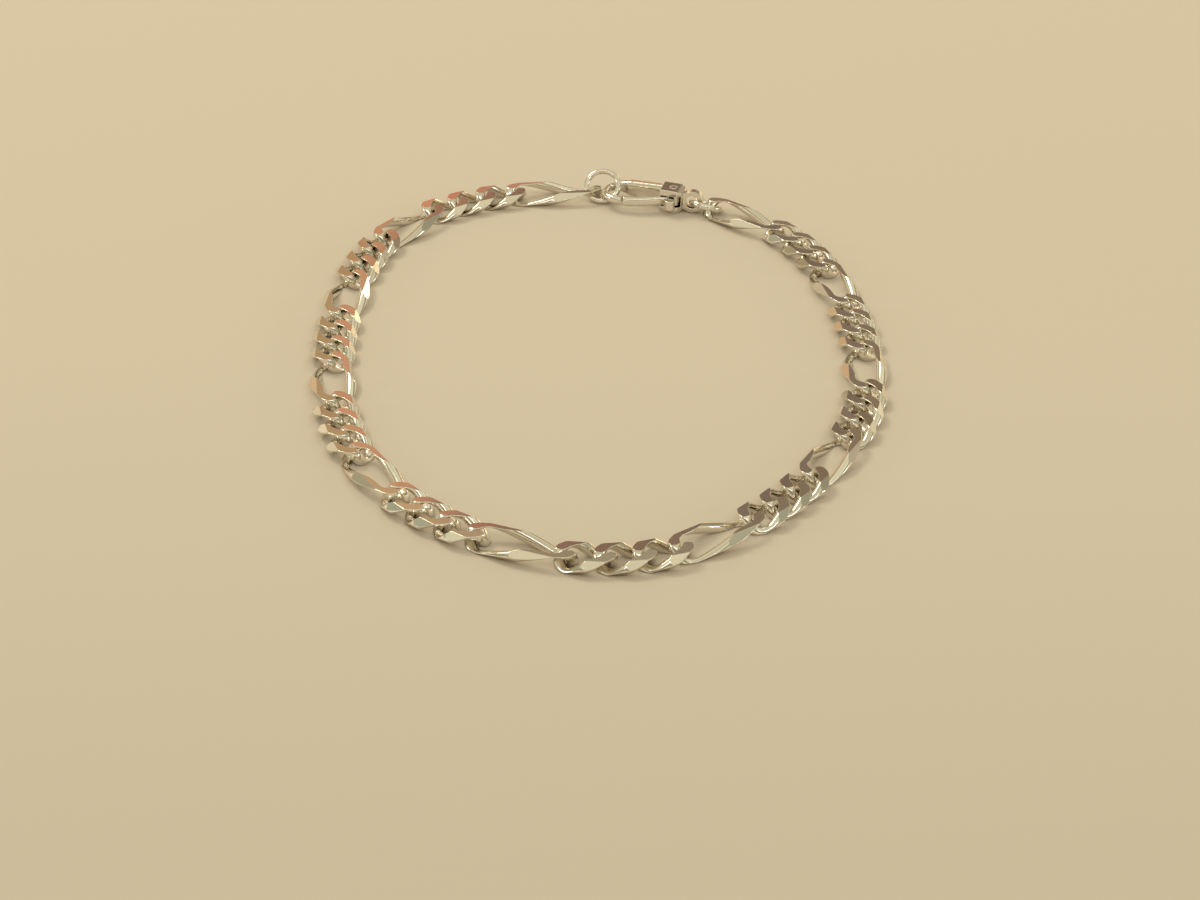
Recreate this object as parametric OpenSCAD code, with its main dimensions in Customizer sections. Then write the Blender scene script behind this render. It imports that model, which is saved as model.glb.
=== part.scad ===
// Figaro link bracelet, fastened, lying flat as one closed loop.
// One long link and three short links repeat round the loop. A lobster clasp closes it: a jump
// ring joins its tail to the last long link, and its claw holds the end ring of the first one.

/* [Links] */
// Outside width of every link
link_w = 4.4; // [4.3:0.05:4.6]
// Wire diameter of every link
wire_d = 1.05; // [0.95:0.01:1.08]
// Thickness of the flattened chain
chain_t = 1.5; // [1.3:0.05:1.7]
// Width of the flats on the top and the bottom of a link
flat_w = 3; // [2.6:0.1:3.4]
// Slope of the bevels beside the flats, in degrees
bevel_angle = 44; // [35:1:50]
// Inside length of a short link
short_inner = 3.5; // [3.45:0.05:4.2]
// Inside length of a long link
long_inner = 8.3; // [7:0.1:10]
// Play of one link on the next along the chain
link_play = 0.12; // [0.1:0.01:0.2]
// Twist of each end of a link out of the flat, in degrees
end_twist = 52; // [50:1:55]

/* [Pattern] */
// Number of long links
long_count = 11; // [9:1:12]
// Short links between one long link and the next
short_run = 3; // [2:1:3]

/* [Rings] */
// Wire diameter of the jump ring
jump_ring_wire = 0.7; // [0.6:0.05:0.75]
// Outside diameter of the jump ring at the clasp's tail
jump_ring_d = 3.8; // [3.7:0.1:4]
// Wire diameter of the end ring
end_ring_wire = 0.6; // [0.5:0.05:0.65]
// Outside diameter of the end ring in the claw
end_ring_d = 4; // [3.9:0.1:4.2]

/* [Clasp] */
// Length of the clasp from the tail eye's end to the claw's nose
clasp_len = 11; // [10.5:0.1:13]
// Thickness of the clasp's housing
clasp_t = 2.5; // [2.3:0.05:2.7]
// Width of the clasp's housing across the rivet
housing_w = 2.4; // [2.2:0.1:2.6]
// Length of the housing from the rivet towards the claw
housing_front = 1.3; // [1.1:0.1:1.6]
// Width of the spine that leads to the claw
spine_w = 1.3; // [1.1:0.05:1.5]
// Thickness of the spine where the claw starts to bend
spine_t = 1.6; // [1.4:0.1:1.8]
// Radius of the middle line of the claw's round end
claw_r = 1.9; // [1.85:0.05:2.1]
// Distance of the claw's middle from the tail eye's line, towards the wrist
claw_offset = 0.34; // [0.2:0.02:0.5]
// Thickness of the claw at its nose
nose_d = 0.86; // [0.7:0.02:0.9]
// Outside diameter of the tail eye
eye_d = 2.4; // [2.2:0.05:2.6]
// Diameter of the hole in the tail eye
eye_hole_d = 1.4; // [1.3:0.05:1.5]
// Thickness of the tail eye
eye_t = 0.9; // [0.7:0.05:1]
// Distance of the rivet from the tail eye's middle
rivet_reach = 2.1; // [2:0.05:2.5]
// Diameter of the rivet that the lever turns on
rivet_d = 0.7; // [0.5:0.05:0.8]
// Thickness of the lever
lever_t = 1; // [0.8:0.05:1.2]
// Width of the lever's round root
root_d = 1.7; // [1.5:0.05:1.9]
// Diameter of the thumb tab on the lever
tab_d = 1.1; // [0.9:0.1:1.3]
// Distance of the thumb tab from the rivet, towards the wrist
tab_reach = 1.7; // [1.5:0.05:2]
// Angle by which the lever is drawn open, in degrees
lever_open = 0; // [0:1:18]

/* [Hidden] */
// Control points of the loop, counterclockwise from the middle of the clasp
ROUTE = [[6, 39], [-12, 37.5], [-23, 26.5], [-25.5, 8.5], [-25, -10.5], [-20, -27.5],
    [-6.5, -38.5], [7.5, -38.5], [18.5, -25], [26, -9], [25, 11.5], [20.5, 30]];
SPAN_STEPS = 30;

// Counts of sides and steps
WIRE_SIDES = 6;
LINK_END_STEPS = 8;
SHORT_SIDE_STEPS = 2;
LONG_SIDE_STEPS = 5;
CLAW_SIDES = 12;
CLAW_STEPS = 9;
LEVER_STEPS = 6;

// Clearances
end_gap = 0.05;
rivet_gap = 0.04;
slot_gap = 0.1;
tip_gap = 0.12;
floor_gap = 0.02;

// How the two plain rings lie: tilt about the clasp's line, turn about the upright, and shift
jump_tilt = 20;
jump_turn = -25;
jump_shift = [-0.12, -0.1];
end_tilt = -44;
end_turn = 6;
end_shift = [-0.02, -0.19];

// Small lengths of the clasp: where its forms run into each other
neck_sunk = 0.3;
rivet_sunk = 0.2;
spine_bend = 2.4;
root_sunk = 0.2;
lever_bulge = 0.25;
front_drop = 0.2;

// Chain
repeat = short_run + 1;
link_count = long_count * repeat - short_run;
end_r = (link_w - wire_d) / 2;
mid_z = chain_t / 2;
wire_reach = link_play / 2 + wire_d;

function inner(k) = k % repeat == 0 ? long_inner : short_inner;
function pitch(k) = inner(k) - link_play;
function half_len(k) = (inner(k) + wire_d) / 2;
function pitch_sum(k) = k < 0 ? 0 : pitch(k) + pitch_sum(k - 1);

// Clasp, along its own line from the last long link's end joint to the first one's start joint
clasp_run = clasp_len + 2 * (wire_reach + end_gap);
clasp_z = clasp_t / 2;
eye_x = wire_reach + end_gap + eye_d / 2;
rivet_x = eye_x + rivet_reach;
claw_x = clasp_run - wire_reach - end_gap - nose_d / 2 - claw_r;
claw_start_angle = -100;
claw_thin_angle = -50;
claw_tip_angle = 98;
lever_tip_angle = claw_tip_angle + tip_gap / claw_r * 180 / PI;

// Loop: a closed cubic spline, walked in chords that are the pitches of the links
function spline_point(u) =
    let (n = len(ROUTE), i = floor(u), t = u - i,
        a = ROUTE[(i + n - 1) % n], b = ROUTE[i % n], c = ROUTE[(i + 1) % n], d = ROUTE[(i + 2) % n])
    (pow(1 - t, 3) * a + (3 * t * t * t - 6 * t * t + 4) * b
        + (-3 * t * t * t + 3 * t * t + 3 * t + 1) * c + t * t * t * d) / 6;
CURVE = [for (i = [0:len(ROUTE) * SPAN_STEPS]) spline_point(i / SPAN_STEPS)];
CURVE_LAST = len(CURVE) - 1;
ARC = [for (i = 0, s = 0; i <= CURVE_LAST;
    i = i + 1, s = i <= CURVE_LAST ? s + norm(CURVE[i] - CURVE[i - 1]) : s) s];
ALONG_X = [for (i = [0:CURVE_LAST]) [ARC[i], CURVE[i].x]];
ALONG_Y = [for (i = [0:CURVE_LAST]) [ARC[i], CURVE[i].y]];
function route_at(s) = [lookup(s, ALONG_X), lookup(s, ALONG_Y)];
function chord_step(s, p) = s + p * p / norm(route_at(s + p) - route_at(s));
function walk(scale) = [for (k = 0, s = clasp_run / scale / 2; k <= link_count;
    s = k < link_count ? chord_step(s, pitch(k) / scale) : s, k = k + 1) s];
function closing_chord(scale) =
    let (w = walk(scale)) scale * norm(route_at(w[0]) - route_at(w[link_count]));
loop_len = pitch_sum(link_count - 1) + clasp_run;
function closer(scale) = scale * (1 + (clasp_run - closing_chord(scale)) / loop_len);
loop_scale = closer(closer(loop_len / ARC[CURVE_LAST]));
RAW_JOINTS = [for (s = walk(loop_scale)) loop_scale * route_at(s)];
function heading(a, b) = atan2(b.y - a.y, b.x - a.x);

// The middle of the loop's outline lies on the origin
function turned(p, angle) = [p.x * cos(angle) - p.y * sin(angle), p.x * sin(angle) + p.y * cos(angle)];
WIRE_POINTS = [for (k = [0:link_count - 1])
    let (a = RAW_JOINTS[k], b = RAW_JOINTS[k + 1])
    each [for (p = link_line(k)) (a + b) / 2 + turned(p, heading(a, b))]];
box_middle = [max([for (p = WIRE_POINTS) p.x]) + min([for (p = WIRE_POINTS) p.x]),
    max([for (p = WIRE_POINTS) p.y]) + min([for (p = WIRE_POINTS) p.y])] / 2;
JOINTS = [for (p = RAW_JOINTS) p - box_middle];
LAST_JOINT = JOINTS[link_count];
clasp_heading = heading(LAST_JOINT, JOINTS[0]);

// Rings of points swept into one closed skin. A loop's last ring joins its first.
module skin(rings, is_loop) {
    n = len(rings);
    m = len(rings[0]);
    walls = [for (i = [0:n - (is_loop ? 1 : 2)], j = [0:m - 1])
        let (a = i * m + j, b = i * m + (j + 1) % m, c = (i + 1) % n * m + j, d = (i + 1) % n * m + (j + 1) % m)
        each [[a, c, b], [b, c, d]]];
    caps = is_loop ? [] : [[for (j = [0:m - 1]) j], [for (j = [m - 1:-1:0]) (n - 1) * m + j]];
    polyhedron(points = [for (r = rings) each r], faces = concat(walls, caps), convexity = 6);
}
function unit(v) = v / norm(v);

// Link: a wire bent to a long round-ended ring, twisted about the chain's line, then cut flat
function link_outline(k) =
    let (straight = half_len(k) - end_r, side_steps = k % repeat == 0 ? LONG_SIDE_STEPS : SHORT_SIDE_STEPS)
    [for (end = [1, -1]) each concat(
        [for (i = [0:LINK_END_STEPS])
            let (t = -90 + 180 * i / LINK_END_STEPS, out = end * [cos(t), sin(t)])
            [end * [straight, 0] + end_r * out, out]],
        [for (i = [1:side_steps - 1])
            [end * [straight * (1 - 2 * i / side_steps), end_r], end * [0, 1]]])];
function twisted(p, x, k) =
    let (turn = end_twist * x / half_len(k)) [p.x, p.y * cos(turn), -p.y * sin(turn)];
function link_line(k) = [for (o = link_outline(k)) twisted(o[0], o[0].x, k)];
module link_wire(k) {
    outline = link_outline(k);
    line = link_line(k);
    n = len(line);
    rings = [for (i = [0:n - 1])
        let (along = unit(line[(i + 1) % n] - line[(i + n - 1) % n]),
            rough = twisted(outline[i][1], outline[i][0].x, k),
            out = unit(rough - (rough * along) * along),
            up = cross(along, out))
        [for (j = [0:WIRE_SIDES - 1])
            let (t = 360 * j / WIRE_SIDES)
            line[i] + wire_d / 2 * (cos(t) * out + sin(t) * up)]];
    skin(rings, true);
}
module flat_bar(length) {
    mid_w = flat_w / 2 + mid_z / tan(bevel_angle);
    rotate([90, 0, 90])
        linear_extrude(height = length, center = true)
            polygon([[-mid_w, 0], [-flat_w / 2, -mid_z], [flat_w / 2, -mid_z],
                [mid_w, 0], [flat_w / 2, mid_z], [-flat_w / 2, mid_z]]);
}
module link(k) {
    middle = (JOINTS[k] + JOINTS[k + 1]) / 2;
    translate([middle.x, middle.y, mid_z])
        rotate([0, 0, heading(JOINTS[k], JOINTS[k + 1])])
            intersection() {
                link_wire(k);
                flat_bar(2 * inner(k));
            }
}
module long_link(i) {
    color("silver") link((i - 1) * repeat);
}
module short_link(i) {
    color("lightgray") link(i + floor((i - 1) / short_run));
}

// Everything at the clasp is drawn along the clasp's own line
module on_clasp_line() {
    translate([LAST_JOINT.x, LAST_JOINT.y, 0])
        rotate([0, 0, clasp_heading])
            children();
}
module plain_ring(d, wire) {
    rotate_extrude($fn = 32)
        translate([(d - wire) / 2, 0])
            circle(d = wire, $fn = 16);
}
module lying_ring(d, wire, middle, tilt, turn) {
    low = (d - wire) / 2 * sin(abs(tilt)) + wire / 2;
    color("gainsboro")
        on_clasp_line()
            translate([middle.x, middle.y, low + floor_gap])
                rotate([tilt, 0, turn])
                    plain_ring(d, wire);
}
module jump_ring() {
    link_wire_x = wire_reach - wire_d / 2;
    eye_wall_x = eye_x - (eye_d + eye_hole_d) / 4;
    lying_ring(jump_ring_d, jump_ring_wire, [(link_wire_x + eye_wall_x) / 2, 0] + jump_shift,
        jump_tilt, jump_turn);
}
module end_ring() {
    link_wire_x = clasp_run - wire_reach + wire_d / 2;
    nose_x = claw_x + claw_r;
    lying_ring(end_ring_d, end_ring_wire, [(link_wire_x + nose_x) / 2, 0] + end_shift,
        end_tilt, end_turn);
}

// Clasp: a cast claw that grows out of a forked housing, and a lever riveted in the fork
function bend_point(a, b, c, t) = (1 - t) * (1 - t) * a + 2 * t * (1 - t) * b + t * t * c;
function bend_way(a, b, c, t) = unit((1 - t) * (b - a) + t * (c - b));
function mix(a, b, t) = a + (b - a) * t;
function oval_ring(p, way, w, h) =
    [for (j = [0:CLAW_SIDES - 1])
        let (t = 360 * j / CLAW_SIDES)
        [p.x - way.y * w / 2 * cos(t), p.y + way.x * w / 2 * cos(t), clasp_z + h / 2 * sin(t)]];
function on_claw(angle) = [claw_x + claw_r * cos(angle), claw_offset + claw_r * sin(angle)];
module claw() {
    start = on_claw(claw_start_angle);
    start_way = [-sin(claw_start_angle), cos(claw_start_angle)];
    root = [rivet_x - root_sunk, -spine_w / 2 + root_sunk / 2];
    bend = start - spine_bend * start_way;
    spine = [for (i = [0:CLAW_STEPS - 1])
        let (t = i / CLAW_STEPS)
        oval_ring(bend_point(root, bend, start, t), bend_way(root, bend, start, t),
            spine_w, mix(clasp_t, spine_t, t))];
    hook = [for (i = [0:2 * CLAW_STEPS - 1])
        let (angle = mix(claw_start_angle, claw_tip_angle, i / (2 * CLAW_STEPS)),
            t = min(1, (angle - claw_start_angle) / (claw_thin_angle - claw_start_angle)))
        oval_ring(on_claw(angle), [-sin(angle), cos(angle)], mix(spine_w, nose_d, t), mix(spine_t, nose_d, t))];
    tip = on_claw(claw_tip_angle);
    skin(concat(spine, hook, [oval_ring(tip, unit([rivet_x, 0] - tip), nose_d, nose_d)]), false);
}
module housing() {
    back_x = eye_x + eye_d / 2 - neck_sunk;
    front_x = rivet_x + housing_front;
    intersection() {
        linear_extrude(height = clasp_t)
            polygon([[back_x, -eye_t / 2], [rivet_x - housing_front, -housing_w / 2],
                [front_x, -housing_w / 2 - front_drop], [front_x, housing_w / 2 - front_drop],
                [rivet_x - housing_front / 2, housing_w / 2], [back_x, eye_t / 2]]);
        translate([0, housing_w, 0])
            rotate([90, 0, 0])
                linear_extrude(height = 2 * housing_w)
                    polygon([[back_x, clasp_z - eye_t], [rivet_x - housing_front / 2, 0], [front_x, 0],
                        [front_x, clasp_t], [rivet_x - housing_front / 2, clasp_t],
                        [back_x, clasp_z + eye_t]]);
    }
}
module flat_disc(x, y, d, h) {
    translate([x, y, clasp_z - h / 2])
        cylinder(d = d, h = h, $fn = 32);
}
module eye_disc(d, t) {
    translate([eye_x, t / 2, clasp_z])
        rotate([90, 0, 0])
            cylinder(d = d, h = t, $fn = 32);
}
module fork_slot() {
    slot_t = lever_t + 2 * slot_gap;
    side_y = -root_d / 2 - slot_gap;
    translate([rivet_x - root_d / 2 - slot_gap, side_y, clasp_z - slot_t / 2])
        cube([root_d / 2 + housing_front + 2 * slot_gap, housing_w, slot_t]);
}
module clasp_body() {
    color("silver")
        on_clasp_line() {
            difference() {
                union() {
                    claw();
                    housing();
                    eye_disc(eye_d, eye_t);
                }
                eye_disc(eye_hole_d, 2 * eye_t);
                fork_slot();
            }
            flat_disc(rivet_x, 0, rivet_d, clasp_t - rivet_sunk);
        }
}
module lever() {
    tip = on_claw(lever_tip_angle);
    root = [rivet_x, root_sunk];
    bend = [claw_x - claw_r, tip.y + lever_bulge];
    arm = [for (i = [0:LEVER_STEPS])
        let (t = i / LEVER_STEPS)
        oval_ring(bend_point(root, bend, tip, t),
            i == LEVER_STEPS ? unit(tip - [rivet_x, 0]) : bend_way(root, bend, tip, t), nose_d, lever_t)];
    difference() {
        union() {
            flat_disc(rivet_x, 0, root_d, lever_t);
            skin(arm, false);
            flat_disc(rivet_x, tab_reach, tab_d, lever_t);
            translate([rivet_x - tab_d / 4, 0, clasp_z - lever_t / 2])
                cube([tab_d / 2, tab_reach, lever_t]);
        }
        flat_disc(rivet_x, 0, rivet_d + 2 * rivet_gap, clasp_t);
    }
}
module clasp_lever() {
    color("lightgray")
        on_clasp_line()
            translate([rivet_x, 0, 0])
                rotate([0, 0, -lever_open])
                    translate([-rivet_x, 0, 0])
                        lever();
}

for (i = [1:long_count])
    long_link(i);
for (i = [1:link_count - long_count])
    short_link(i);
jump_ring();
end_ring();
clasp_body();
clasp_lever();
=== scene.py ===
"""Figaro link bracelet in polished sterling silver, fastened and lying flat as one closed loop.
One long link and three short ones repeat round it, and a lobster clasp with two plain rings
closes it. Sizes are in millimetres and become metres in each finished mesh."""

import math

import bmesh
import bpy
import numpy as np
from mathutils import Matrix, Vector


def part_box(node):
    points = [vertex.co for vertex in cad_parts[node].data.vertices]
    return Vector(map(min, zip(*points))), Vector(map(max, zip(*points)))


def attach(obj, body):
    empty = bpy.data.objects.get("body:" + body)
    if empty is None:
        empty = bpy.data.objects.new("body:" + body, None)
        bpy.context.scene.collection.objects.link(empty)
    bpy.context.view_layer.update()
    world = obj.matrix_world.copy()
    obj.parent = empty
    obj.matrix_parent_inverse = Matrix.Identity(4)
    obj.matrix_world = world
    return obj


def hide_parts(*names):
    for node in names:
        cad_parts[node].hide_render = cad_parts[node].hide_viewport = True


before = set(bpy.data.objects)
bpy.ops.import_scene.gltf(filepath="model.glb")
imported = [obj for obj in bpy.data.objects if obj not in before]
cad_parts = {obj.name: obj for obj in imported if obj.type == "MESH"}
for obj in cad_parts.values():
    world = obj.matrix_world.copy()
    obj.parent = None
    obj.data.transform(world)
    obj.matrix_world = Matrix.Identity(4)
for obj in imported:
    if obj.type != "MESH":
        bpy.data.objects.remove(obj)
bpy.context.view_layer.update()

# --- Long links ---
# The eleven long links of the figaro pattern. Each is round silver wire, bent and soldered to a
# long ring and twisted about the chain's line. The finished chain is then filed flat above and
# below, with a bevel along each side, and polished.
MM = 0.001
link_w = 4.4
wire_d = 1.05
chain_t = 1.5
flat_w = 3.0
bevel_slope = 44
crown = 2.5
end_twist = 52
link_play = 0.12
long_inner = 8.3
long_count = 11
long_tone_seed = 33
polished_edge = 0.05
end_steps = 28
side_step = 0.2
wire_facets = 40
parallel = 1e-6  # cuts nearer to parallel than this don't cross
hair = 1e-7  # a corner this far outside a cut still counts as inside
merged_within = 0.002  # corners nearer than this become one
sliver = 0.0005  # faces thinner than this go
facet_lean = 3  # degrees that a face may lean and still belong to a filed facet
facet_off = 0.004  # how far its corners may lie off the filed plane
corner_digits = 4
ripple_strength = 0.3
ripple_height = 0.03
scratch_apart = 0.15
scratch_depth = 0.002
noise_low, noise_high = 0.35, 0.7
smoother, rougher = 0.7, 1.5
mid_z = chain_t / 2
end_r = (link_w - wire_d) / 2


def filed_planes():
    """The planes that the chain is filed to: a flat above and below, each slightly crowned along
    its middle by the polishing wheel, and a bevel along each of the four edges."""
    planes = []
    for slope, y in ((crown, 0), (bevel_slope, flat_w / 2)):
        s, c = math.sin(math.radians(slope)), math.cos(math.radians(slope))
        for side in (1, -1):
            for face in (1, -1):
                planes.append((Vector((0, s * side, c * face)), s * y + c * mid_z))
    return planes


def wire_places(inner):
    """Middle, tangent and outward way of the wire at each step round a link."""
    half = (inner + wire_d) / 2
    straight = half - end_r
    side_steps = round(2 * straight / side_step)
    track = []
    for end in (1, -1):
        for i in range(end_steps + 1):
            t = math.pi * (i / end_steps - 0.5)
            ox, oy = end * math.cos(t), end * math.sin(t)
            track.append((end * straight + end_r * ox, end_r * oy, ox, oy))
        for i in range(1, side_steps):
            track.append((end * straight * (1 - 2 * i / side_steps), end * end_r, 0, end))
    places = []
    rate = math.radians(end_twist) / half
    for x, y, ox, oy in track:
        s, c = math.sin(rate * x), math.cos(rate * x)
        along = Vector((-oy, ox * c + y * oy * rate * s, -ox * s + y * oy * rate * c)).normalized()
        rough = Vector((ox, oy * c, -oy * s))
        out = (rough - rough.dot(along) * along).normalized()
        places.append((Vector((x, y * c, -y * s)), along, out))
    return places


def filed_section(middle, out, up, planes):
    """The wire's round section, cut where the files have passed and softened by polishing."""
    round_r = wire_d / 2 - polished_edge
    cuts = []
    for way, distance in planes:
        u, v = way.dot(out), way.dot(up)
        length = math.hypot(u, v)
        if length > parallel:
            reach = (distance - way.dot(middle)) / length - polished_edge
            if reach < round_r:
                cuts.append((u / length, v / length, reach))
    corners = []
    for u, v, reach in cuts:
        chord = math.sqrt(max(0, round_r ** 2 - reach ** 2))
        for side in (-1, 1):
            corners.append((u * reach + side * v * chord, v * reach - side * u * chord))
    for i, (u1, v1, r1) in enumerate(cuts):
        for u2, v2, r2 in cuts[i + 1:]:
            cross = u1 * v2 - u2 * v1
            if abs(cross) > parallel:
                corners.append(((r1 * v2 - r2 * v1) / cross, (u1 * r2 - u2 * r1) / cross))

    def inside(p):
        return (math.hypot(*p) < round_r + hair
                and all(u * p[0] + v * p[1] < reach + hair for u, v, reach in cuts))

    kept = [p for p in corners if inside(p)]
    points = []
    for j in range(wire_facets):
        t = 2 * math.pi * (j + 0.5) / wire_facets
        c, s = math.cos(t), math.sin(t)
        choices = kept + [p for p in [(round_r * c, round_r * s)] if inside(p)]
        p = max(choices, key=lambda q: q[0] * c + q[1] * s)
        points.append(middle + (p[0] + polished_edge * c) * out + (p[1] + polished_edge * s) * up)
    return points


def skin(bm, rings, closed):
    """Quads between rings of points, each ring with the same count; an open run gets end caps."""
    made = [[bm.verts.new(p) for p in ring] for ring in rings]
    count, sides = len(made), len(made[0])
    for i in range(count if closed else count - 1):
        a, b = made[i], made[(i + 1) % count]
        for j in range(sides):
            k = (j + 1) % sides
            bm.faces.new((a[j], b[j], b[k], a[k]))
    if not closed:
        bm.faces.new(made[0])
        bm.faces.new(made[-1][::-1])
    return made


def close_up(bm):
    """Points all faces outwards and makes them smooth."""
    bmesh.ops.recalc_face_normals(bm, faces=bm.faces)
    for face in bm.faces:
        face.smooth = True


def to_mesh(name, bm):
    """A mesh from bm, which is then done with."""
    mesh = bpy.data.meshes.new(name)
    bm.to_mesh(mesh)
    bm.free()
    return mesh


def link_mesh(name, inner):
    """One link about its own middle, its line along x. The edges of its filed facets are sharp."""
    planes = filed_planes()
    bm = bmesh.new()
    rings = []
    for middle, along, out in wire_places(inner):
        rings.append(filed_section(middle, out, out.cross(along), planes))
    skin(bm, rings, True)
    bmesh.ops.remove_doubles(bm, verts=bm.verts, dist=merged_within)
    bmesh.ops.dissolve_degenerate(bm, edges=bm.edges, dist=sliver)
    close_up(bm)
    filed = {}
    for face in bm.faces:
        for n, (way, distance) in enumerate(planes):
            if (face.normal.dot(way) > math.cos(math.radians(facet_lean))
                    and all(abs(way.dot(v.co) - distance) < facet_off for v in face.verts)):
                filed[face] = n
    for edge in bm.edges:
        sides = {filed.get(face) for face in edge.link_faces}
        edge.smooth = len(sides) == 1
    return to_mesh(name, bm)


def node_points(name):
    """The corners of a CAD node's mesh in millimetres, each once."""
    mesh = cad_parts[name].data
    numbers = np.zeros(len(mesh.vertices) * 3, np.float32)
    mesh.vertices.foreach_get("co", numbers)
    corners = numbers.reshape(-1, 3).astype(float) / MM
    return np.unique(np.round(corners, corner_digits), axis=0)


def link_place(name, towards):
    """Middle and heading of a link's node, its heading turned to the way that the chain runs."""
    points = node_points(name)[:, :2]
    middle = (points.min(0) + points.max(0)) / 2
    spread = np.cov((points - middle).T)
    way = np.linalg.eigh(spread)[1][:, 1]
    if way @ towards < 0:
        way = -way
    return middle, math.atan2(way[1], way[0])


def chain_way(name):
    """Counterclockwise along the loop at a node, seen from above."""
    low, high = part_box(name)
    return np.array([-(low.y + high.y), low.x + high.x])


def places_mesh(name, nodes):
    """One point at the middle of each link, with its heading."""
    mesh = bpy.data.meshes.new(name)
    found = [link_place(n, chain_way(n)) for n in nodes]
    mesh.from_pydata([(x * MM, y * MM, mid_z * MM) for (x, y), _ in found], [], [])
    heading = mesh.attributes.new("heading", "FLOAT", "POINT")
    heading.data.foreach_set("value", [turn for _, turn in found])
    return mesh


def finished(name, mesh, body, material):
    """The one way a piece goes in: at the origin, on its body, with its material and slot."""
    piece = bpy.data.objects.new(name, mesh)
    bpy.context.scene.collection.objects.link(piece)
    if not mesh.materials:
        mesh.materials.append(material)
    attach(piece, body)
    return piece


def linear(code):
    """An sRGB hex colour as the linear RGBA that shaders take."""
    parts = [int(code[i:i + 2], 16) / 255 for i in (1, 3, 5)]
    return [p / 12.92 if p <= 0.04045 else ((p + 0.055) / 1.055) ** 2.4 for p in parts] + [1]


def add(tree, kind, inputs=None, stops=(), **settings):
    """One node with its settings, and its inputs set to values or linked to other nodes' sockets.
    A colour ramp's stops are places from 0 to 1, each with an sRGB hex colour."""
    node = tree.nodes.new(kind)
    for key, value in settings.items():
        setattr(node, key, value)
    for key, value in (inputs or {}).items():
        if isinstance(value, bpy.types.NodeSocket):
            tree.links.new(value, node.inputs[key])
        else:
            node.inputs[key].default_value = value
    if stops:
        bands = node.color_ramp.elements
        for _ in stops[2:]:
            bands.new(1.0)
        for band, (place, code) in zip(bands, stops):
            band.position, band.color = place, linear(code)
    return node


def link_layer():
    """Geometry Nodes that set one link on every place along the chain, turned to its heading, and
    give each a tone of its own from 0 to 1."""
    tree = bpy.data.node_groups.new("links_along_the_chain", "GeometryNodeTree")
    for name, kind in (("Places", "NodeSocketGeometry"), ("Link", "NodeSocketObject"),
                       ("Metal", "NodeSocketMaterial"), ("Tone Seed", "NodeSocketInt")):
        tree.interface.new_socket(name, in_out="INPUT", socket_type=kind)
    tree.interface.new_socket("Chain", in_out="OUTPUT", socket_type="NodeSocketGeometry")
    given = add(tree, "NodeGroupInput").outputs
    heading = add(tree, "GeometryNodeInputNamedAttribute", {"Name": "heading"}, data_type="FLOAT")
    turn = add(tree, "ShaderNodeCombineXYZ", {"Z": heading.outputs["Attribute"]})
    link = add(tree, "GeometryNodeObjectInfo", {"Object": given["Link"]})
    laid = add(tree, "GeometryNodeInstanceOnPoints", {
        "Points": given["Places"], "Instance": link.outputs["Geometry"],
        "Rotation": turn.outputs["Vector"]})
    tone = add(tree, "FunctionNodeRandomValue", {"Seed": given["Tone Seed"]}, data_type="FLOAT")
    toned = add(tree, "GeometryNodeStoreNamedAttribute", {
        "Geometry": laid.outputs["Instances"], "Name": "tone", "Value": tone.outputs[1]},
        data_type="FLOAT", domain="INSTANCE")
    solid = add(tree, "GeometryNodeRealizeInstances", {"Geometry": toned.outputs["Geometry"]})
    metal = add(tree, "GeometryNodeSetMaterial", {
        "Geometry": solid.outputs["Geometry"], "Material": given["Metal"]})
    add(tree, "NodeGroupOutput", {"Chain": metal.outputs["Geometry"]})
    return tree


def lay_links(name, inner, nodes, metal, seed):
    """All the links of one kind as one plain mesh."""
    link = bpy.data.objects.new(name + "_one", link_mesh(name + "_one", inner))
    link.data.transform(Matrix.Scale(MM, 4))
    places = bpy.data.objects.new(name + "_places", places_mesh(name + "_places", nodes))
    for o in (link, places):
        bpy.context.scene.collection.objects.link(o)
    layer = places.modifiers.new("links", "NODES")
    layer.node_group = chain_tree
    values = {"Link": link, "Metal": metal, "Tone Seed": seed}
    for item in chain_tree.interface.items_tree:
        if item.in_out == "INPUT" and item.name in values:
            layer[item.identifier] = values[item.name]
    depsgraph = bpy.context.evaluated_depsgraph_get()
    mesh = bpy.data.meshes.new_from_object(places.evaluated_get(depsgraph), depsgraph=depsgraph)
    mesh.name = name
    for o in (link, places):
        bpy.data.objects.remove(o)
    piece = finished(name, mesh, "bracelet", metal)
    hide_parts(*nodes)


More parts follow.
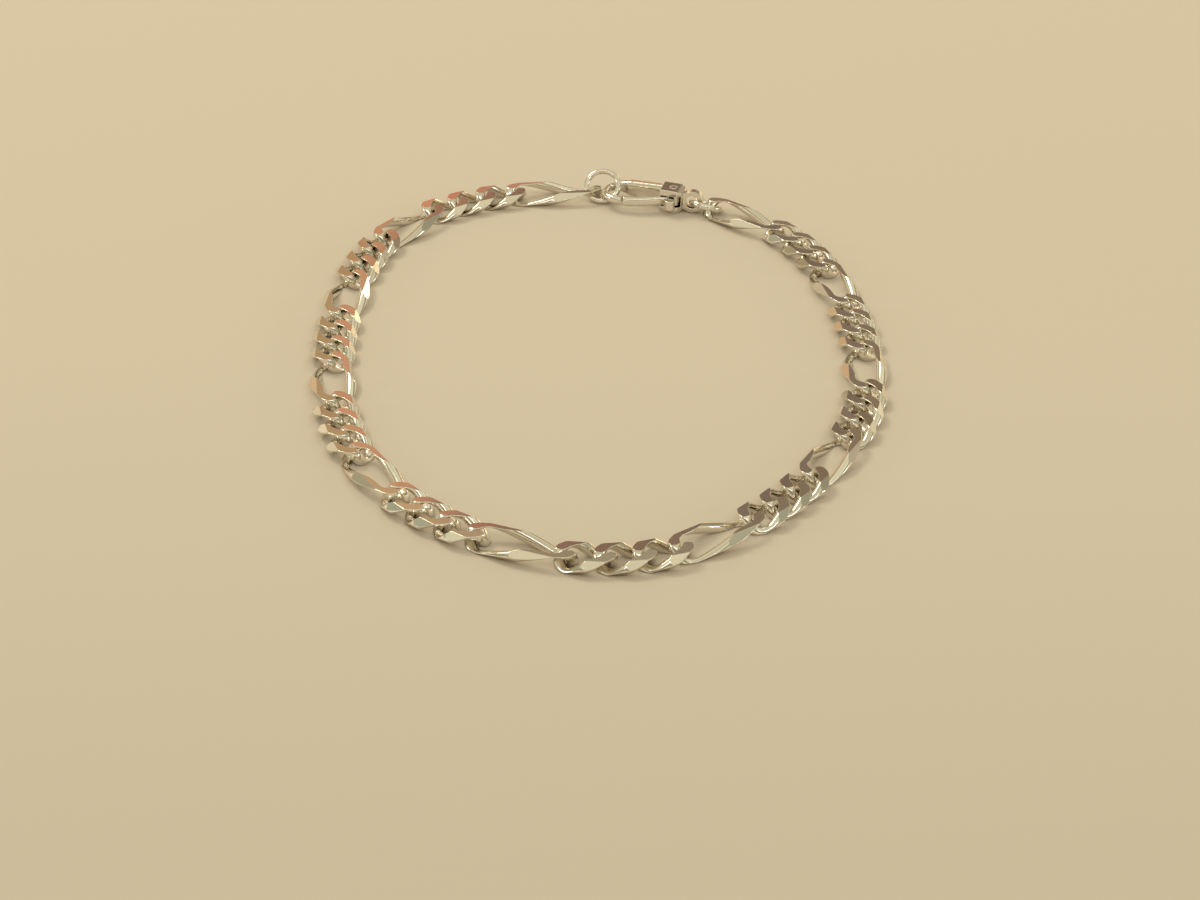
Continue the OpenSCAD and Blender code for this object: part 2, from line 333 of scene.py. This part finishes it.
def polished_silver(name, colour, roughness, ripple_mm, scratch, dull=None):
    """Sterling silver, filed and then polished on a felt wheel. It mirrors the room with a faint
    warm tone, and the wheel leaves a slow ripple and fine scratches in the mirror. Real scratches
    are too fine to show, so they are drawn a seventh of a millimetre apart. Where links have a
    tone of their own, the metal lies between the colour and the duller one."""
    material = bpy.data.materials.new(name)
    material.use_nodes = True
    tree = material.node_tree
    tree.nodes.clear()
    where = add(tree, "ShaderNodeTexCoord").outputs["Object"]
    ripple = add(tree, "ShaderNodeTexNoise", {
        "Vector": where, "Scale": 1 / (ripple_mm * MM), "Detail": 1.0, "Roughness": 0.3})
    fine = add(tree, "ShaderNodeTexNoise", {
        "Vector": where, "Scale": 1 / (scratch_apart * MM), "Detail": 3.0, "Roughness": 0.6})
    bump = add(tree, "ShaderNodeBump", {
        "Height": ripple.outputs["Fac"], "Strength": ripple_strength,
        "Distance": ripple_height * MM})
    bump_fine = add(tree, "ShaderNodeBump", {
        "Height": fine.outputs["Fac"], "Normal": bump.outputs["Normal"], "Strength": scratch,
        "Distance": scratch_depth * MM})
    worn = add(tree, "ShaderNodeMapRange", {
        "Value": fine.outputs["Fac"], "From Min": noise_low, "From Max": noise_high,
        "To Min": roughness * smoother, "To Max": roughness * rougher})
    metal = linear(colour)
    if dull:
        tone = add(tree, "ShaderNodeAttribute", attribute_name="tone").outputs["Fac"]
        metal = add(tree, "ShaderNodeMix", {0: tone, 6: metal, 7: linear(dull)},
                    data_type="RGBA").outputs[2]
    shader = add(tree, "ShaderNodeBsdfPrincipled", {
        "Base Color": metal, "Metallic": 1.0, "Roughness": worn.outputs["Result"],
        "Normal": bump_fine.outputs["Normal"]})
    add(tree, "ShaderNodeOutputMaterial", {"Surface": shader.outputs["BSDF"]})
    return material


chain_silver = polished_silver("polished_sterling_silver", "#efebe2", roughness=0.11,
                               ripple_mm=2.2, scratch=0.4, dull="#ddd6ca")
chain_tree = link_layer()
long_nodes = [f"long_link_{i}" for i in range(1, long_count + 1)]
lay_links("long_links", long_inner, long_nodes, chain_silver, long_tone_seed)

# --- Short links ---
# Three short links stand between one long link and the next, thirty in all. They are the same
# wire, twisted and filed in the same pass, so only their inside length differs.
short_inner = 3.5
short_count = 30
short_tone_seed = 14
short_nodes = [f"short_link_{i}" for i in range(1, short_count + 1)]
lay_links("short_links", short_inner, short_nodes, chain_silver, short_tone_seed)

# --- Jump ring ---
# A plain ring of thinner silver wire ties the last long link to the clasp's tail eye. It is bent
# shut, and its two sawn ends meet in a fine seam.
clasp_len = 11.0
clasp_t = 2.5
eye_d = 2.4
eye_hole_d = 1.4
eye_t = 0.9
end_gap = 0.05
floor_gap = 0.02
jump_ring_wire = 0.7
jump_ring_d = 3.8
jump_tilt = 20
jump_turn = -25
jump_shift = (-0.12, -0.1)
jump_seam_at = 100
seam = 0.035
ring_steps = 72
ring_facets = 24
wire_reach = link_play / 2 + wire_d
eye_x = wire_reach + end_gap + eye_d / 2
clasp_run = clasp_len + 2 * (wire_reach + end_gap)


def clasp_line():
    """The clasp's own frame: x runs from the last long link's end to the first one's start."""
    half_pitch = (long_inner - link_play) / 2
    ends = []
    for node, side in ((long_nodes[-1], 1), (long_nodes[0], -1)):
        (x, y), heading = link_place(node, chain_way(node))
        reach = side * half_pitch
        ends.append(Vector((x + reach * math.cos(heading), y + reach * math.sin(heading), 0)))
    run = ends[1] - ends[0]
    return Matrix.Translation(ends[0]) @ Matrix.Rotation(math.atan2(run.y, run.x), 4, "Z")


clasp_place = clasp_line()


def ring_mesh(name, d, wire, middle, shift, tilt, turn, seam_at):
    """A round wire bent to a ring, lying on one edge, with its two ends meeting at the seam."""
    r = (d - wire) / 2
    low = r * math.sin(abs(math.radians(tilt))) + wire / 2
    bm = bmesh.new()
    gap = seam / r
    rings = []
    for i in range(ring_steps + 1):
        a = math.radians(seam_at) + gap / 2 + (2 * math.pi - gap) * i / ring_steps
        out = Vector((math.cos(a), math.sin(a), 0))
        rings.append([out * (r + wire / 2 * math.cos(t)) + Vector((0, 0, wire / 2 * math.sin(t)))
                      for t in (2 * math.pi * j / ring_facets for j in range(ring_facets))])
    made = skin(bm, rings, False)
    close_up(bm)
    for ring in (made[0], made[-1]):
        for j in range(ring_facets):
            edge = bm.edges.get((ring[j], ring[(j + 1) % ring_facets]))
            edge.smooth = False
    spot = Matrix.Translation((middle + shift[0], shift[1], low + floor_gap))
    swing = Matrix.Rotation(math.radians(turn), 4, "Z")
    lean = Matrix.Rotation(math.radians(tilt), 4, "X")
    bm.transform(Matrix.Scale(MM, 4) @ (clasp_place @ spot @ swing @ lean))
    return to_mesh(name, bm)


# Wire comes smooth out of its die, so a ring's ripple is short and its mirror is the sharpest.
ring_silver = polished_silver("drawn_silver_wire", "#e7e2d9", roughness=0.08, ripple_mm=1.2,
                              scratch=0.4)
jump_middle = (wire_reach - wire_d / 2 + eye_x - (eye_d + eye_hole_d) / 4) / 2
jump_mesh = ring_mesh("jump_ring_wire", jump_ring_d, jump_ring_wire, jump_middle, jump_shift,
                      jump_tilt, jump_turn, jump_seam_at)
jump = finished("jump_ring_wire", jump_mesh, "bracelet", ring_silver)
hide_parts("jump_ring")

# --- Clasp body ---
# The lobster clasp's body is one silver casting: a claw whose spine grows out of a forked
# housing, and a tail eye that stands upright behind it. A rivet goes through the fork.
housing_w = 2.4
housing_front = 1.3
spine_w = 1.3
spine_t = 1.6
claw_r = 1.9
claw_offset = 0.34
nose_d = 0.86
rivet_reach = 2.1
rivet_d = 0.7
rivet_proud = 0.04
lever_t = 1.0
root_d = 1.7
slot_gap = 0.1
neck_sunk = 0.3
spine_bend = 2.4
root_sunk = 0.2
front_drop = 0.2
claw_start, claw_thin, claw_tip = -100, -50, 98
spine_fullness, nose_fullness = 4.0, 2.0
spine_steps = 24
hook_steps = 47
claw_facets = 28
bar_facets = 48
casting_grain = 0.055
smoothing = 0.5
body_softening = 5
clasp_z = clasp_t / 2
slot_t = lever_t + 2 * slot_gap
rivet_x = eye_x + rivet_reach
claw_x = clasp_run - wire_reach - end_gap - nose_d / 2 - claw_r


def mix(a, b, t):
    return a + (b - a) * t


def flat(x, y):
    """A place in the clasp's middle plane."""
    return Vector((x, y, clasp_z))


def on_claw(angle):
    """A place on the middle line of the claw's hook."""
    a = math.radians(angle)
    return flat(claw_x + claw_r * math.cos(a), claw_offset + claw_r * math.sin(a))


def claw_way(angle):
    """The way that the hook runs there."""
    a = math.radians(angle)
    return Vector((-math.sin(a), math.cos(a), 0))


def oval(p, way, w, h, fullness):
    """A section across way: an oval w wide and h high, its corners fuller as fullness grows."""
    side = Vector((-way.y, way.x, 0))
    ring = []
    for j in range(claw_facets):
        t = 2 * math.pi * j / claw_facets
        c, s = math.cos(t), math.sin(t)
        c, s = (math.copysign(abs(v) ** (2 / fullness), v) for v in (c, s))
        ring.append(p + side * (w / 2 * c) + Vector((0, 0, h / 2 * s)))
    return ring


def bend(a, b, c, t):
    """Place and way along the curve from a to c that bends towards b."""
    place = (1 - t) ** 2 * a + 2 * t * (1 - t) * b + t * t * c
    return place, ((1 - t) * (b - a) + t * (c - b)).normalized()


def shell(name, bm):
    """A helper solid in millimetres in the clasp's frame."""
    close_up(bm)
    o = bpy.data.objects.new(name, to_mesh(name, bm))
    bpy.context.scene.collection.objects.link(o)
    return o


def swept(name, rings):
    """A helper solid through a row of sections."""
    bm = bmesh.new()
    skin(bm, rings, False)
    return shell(name, bm)


def pillar(name, x, y, z, d, h, axis="Z"):
    """A round bar of diameter d and length h about x, y, z, along Z or Y."""
    bm = bmesh.new()
    turn = Matrix.Rotation(math.pi / 2, 4, "X") if axis == "Y" else Matrix.Identity(4)
    bmesh.ops.create_cone(bm, cap_ends=True, segments=bar_facets, radius1=d / 2, radius2=d / 2,
                          depth=h, matrix=Matrix.Translation((x, y, z)) @ turn)
    return shell(name, bm)


def slab(name, low, high):
    """A block between two corners."""
    bm = bmesh.new()
    middle = [(a + b) / 2 for a, b in zip(low, high)]
    size = [b - a for a, b in zip(low, high)]
    place = Matrix.Translation(middle) @ Matrix.Diagonal((*size, 1))
    bmesh.ops.create_cube(bm, size=1, matrix=place)
    return shell(name, bm)


def applied(o):
    """The object with what its modifiers show as its plain mesh."""
    depsgraph = bpy.context.evaluated_depsgraph_get()
    mesh = bpy.data.meshes.new_from_object(o.evaluated_get(depsgraph), depsgraph=depsgraph)
    o.modifiers.clear()
    o.data = mesh
    return o


def cut(o, *cutters, how="DIFFERENCE"):
    """The object less its cutters, or what it shares with them where how is INTERSECT."""
    for cutter in cutters:
        knife = o.modifiers.new("knife", "BOOLEAN")
        knife.operation, knife.solver, knife.object = how, "EXACT", cutter
    return applied(o)


def cast(name, parts, softening):
    """Melts overlapping solids into one skin with soft inner corners, as a casting has, and
    sets it in its place."""
    bm = bmesh.new()
    for o in parts:
        bm.from_mesh(o.data)
    o = bpy.data.objects.new(name, to_mesh(name, bm))
    bpy.context.scene.collection.objects.link(o)
    melt = o.modifiers.new("melt", "REMESH")
    melt.mode, melt.voxel_size, melt.use_smooth_shade = "VOXEL", casting_grain, True
    soft = o.modifiers.new("soft", "SMOOTH")
    soft.factor, soft.iterations = smoothing, softening
    mesh = applied(o).data
    bpy.data.objects.remove(o)
    mesh.name = name
    mesh.transform(Matrix.Scale(MM, 4) @ clasp_place)
    for p in mesh.polygons:
        p.use_smooth = True
    return mesh


def drop(*objects):
    for o in objects:
        bpy.data.objects.remove(o)


def claw_rings():
    """The spine from the rivet to the claw, then the hook round to its nose."""
    start = on_claw(claw_start)
    root = flat(rivet_x - root_sunk, -spine_w / 2 + root_sunk / 2)
    lean = start - spine_bend * claw_way(claw_start)
    rings = []
    for i in range(spine_steps):
        t = i / spine_steps
        place, way = bend(root, lean, start, t)
        rings.append(oval(place, way, spine_w, mix(clasp_t, spine_t, t), spine_fullness))
    for i in range(hook_steps + 1):
        angle = mix(claw_start, claw_tip, i / hook_steps)
        t = min(1, (angle - claw_start) / (claw_thin - claw_start))
        rings.append(oval(on_claw(angle), claw_way(angle), mix(spine_w, nose_d, t),
                          mix(spine_t, nose_d, t), mix(spine_fullness, nose_fullness, t)))
    return rings


def housing_block():
    """The fork's block: plan outline times side outline, as the casting's two parting views."""
    back, front = eye_x + eye_d / 2 - neck_sunk, rivet_x + housing_front
    shoulder, waist = rivet_x - housing_front, rivet_x - housing_front / 2
    plan = [(back, -eye_t / 2), (shoulder, -housing_w / 2), (front, -housing_w / 2 - front_drop),
            (front, housing_w / 2 - front_drop), (waist, housing_w / 2), (back, eye_t / 2)]
    side = [(back, clasp_z - eye_t), (waist, 0), (front, 0),
            (front, clasp_t), (waist, clasp_t), (back, clasp_z + eye_t)]
    block = swept("plan", [[Vector((x, y, z)) for x, y in plan] for z in (0, clasp_t)])
    profile = swept("side", [[Vector((x, y, z)) for x, z in side]
                             for y in (-housing_w, housing_w)])
    cut(block, profile, how="INTERSECT")
    drop(profile)
    return block


fork_slot = slab("fork_slot",
                 (rivet_x - root_d / 2 - slot_gap, -root_d / 2 - slot_gap, clasp_z - slot_t / 2),
                 (rivet_x + housing_front + slot_gap, housing_w, clasp_z + slot_t / 2))
eye_hole = pillar("eye_hole", eye_x, 0, clasp_z, eye_hole_d, 2 * eye_t, "Y")
claw_part = cut(swept("claw", claw_rings()), fork_slot)
housing_part = cut(housing_block(), fork_slot, eye_hole)
eye_part = cut(pillar("eye", eye_x, 0, clasp_z, eye_d, eye_t, "Y"), eye_hole)
rivet_part = pillar("rivet", rivet_x, 0, clasp_z + rivet_proud, rivet_d, clasp_t)
# A casting is tumbled and then polished by hand, so it is scratched more than the links are.
cast_silver = polished_silver("cast_silver", "#e6e1d8", roughness=0.1, ripple_mm=1.4, scratch=0.6)
body_mesh = cast("clasp_casting", [claw_part, housing_part, eye_part, rivet_part], body_softening)
clasp = finished("clasp_casting", body_mesh, "bracelet", cast_silver)
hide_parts("clasp_body")
drop(fork_slot, eye_hole, claw_part, housing_part, eye_part, rivet_part)

# --- Clasp lever ---
# The lever, cast in silver too, closes the claw's mouth. It turns on the rivet against a spring
# inside the housing, and its thumb tab stands out towards the wrist.
rivet_gap = 0.04
tip_gap = 0.12
lever_bulge = 0.25
lever_fullness = 2.6
lever_steps = 32
lever_softening = 4
tab_d = 1.1
tab_reach = 1.7
lever_tip = claw_tip + math.degrees(tip_gap / claw_r)


def lever_rings():
    """The lever's arm from the rivet to its tip, which faces the claw's nose."""
    tip = on_claw(lever_tip)
    root = flat(rivet_x, root_sunk)
    lean = flat(claw_x - claw_r, tip.y + lever_bulge)
    rings = []
    for i in range(lever_steps + 1):
        place, way = bend(root, lean, tip, i / lever_steps)
        if i == lever_steps:
            way = (tip - flat(rivet_x, 0)).normalized()
        rings.append(oval(place, way, nose_d, lever_t, lever_fullness))
    return rings


arm = swept("arm", lever_rings())
rivet_hole = pillar("rivet_hole", rivet_x, 0, clasp_z, rivet_d + 2 * rivet_gap, clasp_t)
lever_root = pillar("lever_root", rivet_x, 0, clasp_z, root_d, lever_t)
tab = pillar("tab", rivet_x, tab_reach, clasp_z, tab_d, lever_t)
tab_neck = slab("tab_neck", (rivet_x - tab_d / 4, 0, clasp_z - lever_t / 2),
                (rivet_x + tab_d / 4, tab_reach, clasp_z + lever_t / 2))
for part in (arm, lever_root, tab_neck):
    cut(part, rivet_hole)
lever_mesh = cast("clasp_thumb_lever", [arm, lever_root, tab, tab_neck], lever_softening)
lever = finished("clasp_thumb_lever", lever_mesh, "lever", cast_silver)
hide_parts("clasp_lever")
drop(arm, rivet_hole, lever_root, tab, tab_neck)

# --- End ring ---
# A second plain ring of silver wire stays on the first long link. The claw catches it, so it
# lies steeply tilted between the claw's nose and the link.
end_ring_wire = 0.6
end_ring_d = 4.0
end_tilt = -44
end_turn = 6
end_shift = (-0.02, -0.19)
end_seam_at = -60
end_middle = (clasp_run - wire_reach + wire_d / 2 + claw_x + claw_r) / 2
end_mesh = ring_mesh("end_ring_wire", end_ring_d, end_ring_wire, end_middle, end_shift,
                     end_tilt, end_turn, end_seam_at)
end = finished("end_ring_wire", end_mesh, "bracelet", ring_silver)
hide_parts("end_ring")

# --- Floor, light and camera ---
# A plain table top covered with cream paper, and a room of soft boxes with a curtain across its
# far side, which the metal mirrors. The camera stands at the photograph's viewing angle.
table_reach = 1.5
painted_shade_near, painted_shade_far = -0.08, 0.12
floor_mesh = bpy.data.meshes.new("floor")
floor_mesh.from_pydata([(-table_reach, -table_reach, 0), (table_reach, -table_reach, 0),
                        (table_reach, table_reach, 0), (-table_reach, table_reach, 0)],
                       [], [(0, 1, 2, 3)])
floor = bpy.data.objects.new("floor", floor_mesh)
bpy.context.scene.collection.objects.link(floor)

# Cream paper is matt, so it takes soft shadows. Its colour is also painted a little darker towards
# the camera: painted shade, where less light falls.
paper = bpy.data.materials.new("cream_paper")
paper.use_nodes = True
tree = paper.node_tree
tree.nodes.clear()
spot = add(tree, "ShaderNodeSeparateXYZ", {
    "Vector": add(tree, "ShaderNodeTexCoord").outputs["Object"]}).outputs
depth = add(tree, "ShaderNodeMapRange", {
    "Value": spot["Y"], "From Min": painted_shade_near, "From Max": painted_shade_far}).outputs["Result"]
# Painted shade: the paper's colour ramps darker towards the camera.
painted_shade = add(tree, "ShaderNodeValToRGB", {"Fac": depth}, stops=[
    (0, "#d5cbbd"), (0.4, "#dfd4c6"), (1, "#e2d6c8")]).outputs["Color"]
shader = add(tree, "ShaderNodeBsdfPrincipled", {"Base Color": painted_shade, "Roughness": 0.8})
add(tree, "ShaderNodeOutputMaterial", {"Surface": shader.outputs["BSDF"]})
floor_mesh.materials.append(paper)

bpy.context.scene.view_settings.view_transform = "Standard"
curtain_left, curtain_right = -0.25, 0.25
room_light = 1.37
world = bpy.data.worlds.new("studio")
bpy.context.scene.world = world
world.use_nodes = True
room = world.node_tree
room.nodes.clear()
look = add(room, "ShaderNodeSeparateXYZ", {
    "Vector": add(room, "ShaderNodeTexCoord").outputs["Generated"]}).outputs
across = add(room, "ShaderNodeMapRange", {
    "Value": look["X"], "From Min": curtain_left, "From Max": curtain_right}).outputs["Result"]


def laid_over(under, over, *limits):
    """One colour over another in one part of the room. Each limit is an axis, with where the
    part's soft edge starts and where it is full."""
    share = 1.0
    for axis, start, full in limits:
        edge = add(room, "ShaderNodeMapRange", {
            "Value": look[axis], "From Min": start, "From Max": full},
            interpolation_type="SMOOTHSTEP").outputs["Result"]
        share = add(room, "ShaderNodeMath", {0: share, 1: edge},
                    operation="MULTIPLY").outputs["Value"]
    return add(room, "ShaderNodeMix", {0: share, 6: under, 7: over}, data_type="RGBA").outputs[2]


# The curtain is warm and dark by turns from left to right, and its foot, its top and the rail
# above it have colours of their own. A link's inner and outer flats mirror different heights.
curtain_foot = add(room, "ShaderNodeValToRGB", {"Fac": across}, stops=[
    (0, "#b09a7c"), (0.26, "#c89a7c"), (0.36, "#c4775c"), (0.45, "#a86a58"),
    (0.52, "#976758"), (0.62, "#8a6a5c"), (0.78, "#84705f"), (1, "#a0907a")]).outputs["Color"]
curtain_top = add(room, "ShaderNodeValToRGB", {"Fac": across}, stops=[
    (0, "#9c8c6c"), (0.25, "#9c8460"), (0.32, "#bc8d68"), (0.415, "#bb8869"),
    (0.435, "#c99872"), (0.453, "#a87660"), (0.47, "#866454"), (0.505, "#756456"),
    (0.55, "#6d5f54"), (0.6, "#786758"), (0.76, "#7a6854"), (1, "#8a7b66")]).outputs["Color"]
curtain_rail = add(room, "ShaderNodeValToRGB", {"Fac": across}, stops=[
    (0.31, "#b49a74"), (0.36, "#9a8064"), (0.45, "#8e7c66"), (0.5, "#8c7e68"),
    (0.556, "#a39a84"), (0.6, "#90826c")]).outputs["Color"]
curtain = laid_over(curtain_foot, curtain_top, ("Z", 0.33, 0.38))
curtain = laid_over(curtain, curtain_rail, ("Z", 0.5, 0.56), ("X", 0.07, 0.03))

# The walls are cream at the floor, grey-green at middle height and pale towards the ceiling. The
# camera's side is darker at middle height, and a warm patch stands low at the far left.
walls = add(room, "ShaderNodeValToRGB", {"Fac": look["Z"]}, stops=[
    (0, "#cdbb98"), (0.2, "#d8caaa"), (0.38, "#908f78"), (0.62, "#979680"),
    (0.7, "#c4bea2"), (0.78, "#d6ceb2"), (0.88, "#c8c2a5"), (1, "#b8b098")]).outputs["Color"]
walls = laid_over(walls, linear("#7d7262"), ("Z", 0.36, 0.44), ("Z", 0.68, 0.6), ("Y", -0.6, -0.7))
walls = laid_over(walls, linear("#bc9a74"), ("X", -0.28, -0.38), ("X", -0.66, -0.52),
                  ("Y", 0.2, 0.5), ("Z", 0.3, 0.22))
walls = laid_over(walls, curtain, ("Z", 0.27, 0.32), ("Z", 0.62, 0.57), ("Y", 0.35, 0.6))
sky = add(room, "ShaderNodeBackground", {"Color": walls, "Strength": room_light})
add(room, "ShaderNodeOutputWorld", {"Surface": sky.outputs["Background"]})


def lamp(name, azimuth, height, away, size, brightness, code):
    """A soft box aimed at the bracelet; azimuth turns from the far side towards the right."""
    light = bpy.data.lights.new(name, "AREA")
    light.shape, (light.size, light.size_y) = "RECTANGLE", size
    light.energy = brightness * math.pi * size[0] * size[1]
    light.color = linear(code)[:3]
    a, h = math.radians(azimuth), math.radians(height)
    o = bpy.data.objects.new(name, light)
    o.location = away * Vector((math.sin(a) * math.cos(h), math.cos(a) * math.cos(h), math.sin(h)))
    o.rotation_euler = o.location.to_track_quat("Z", "Y").to_euler()
    bpy.context.scene.collection.objects.link(o)


lamp("window", -50, 50, 1.6, (0.5, 0.5), 7.0, "#fff3dc")
lamp("right_box", 92, 15, 1.3, (0.34, 0.22), 3.8, "#fbfbff")
lamp("left_box", -98, 18, 1.3, (0.34, 0.22), 3.8, "#f8faff")
lamp("strip_box", 178, 52, 1.15, (1.4, 0.05), 5.0, "#f6f6ff")
lamp("warm_lamp", 30, 9, 1.2, (0.13, 0.13), 5.0, "#ffcf96")

photo_width = 1200
focal_px = 3087
film_width = 36
nearest, furthest = 0.01, 10
turned = 0.39
elevation = 28.61
distance = 278.1
roll = 2.1
aim = Vector((0.36, -18.77, 0.75))
e, r = math.radians(elevation), math.radians(roll)
forward = Vector((0, math.cos(e), -math.sin(e)))
up = Vector((0, math.sin(e), math.cos(e)))
right = Vector((1, 0, 0))
for way in (forward, up, right):
    way.rotate(Matrix.Rotation(math.radians(-turned), 3, "Z"))
right, up = right * math.cos(r) + up * math.sin(r), up * math.cos(r) - right * math.sin(r)
axes = Matrix((right, up, -forward)).transposed()
camera = bpy.data.objects.new("camera", bpy.data.cameras.new("camera"))
bpy.context.scene.collection.objects.link(camera)
camera.data.sensor_width = film_width
camera.data.lens = film_width * focal_px / photo_width
camera.data.clip_start, camera.data.clip_end = nearest, furthest
camera.matrix_world = Matrix.Translation((aim - forward * distance) * MM) @ axes.to_4x4()
bpy.context.scene.camera = camera
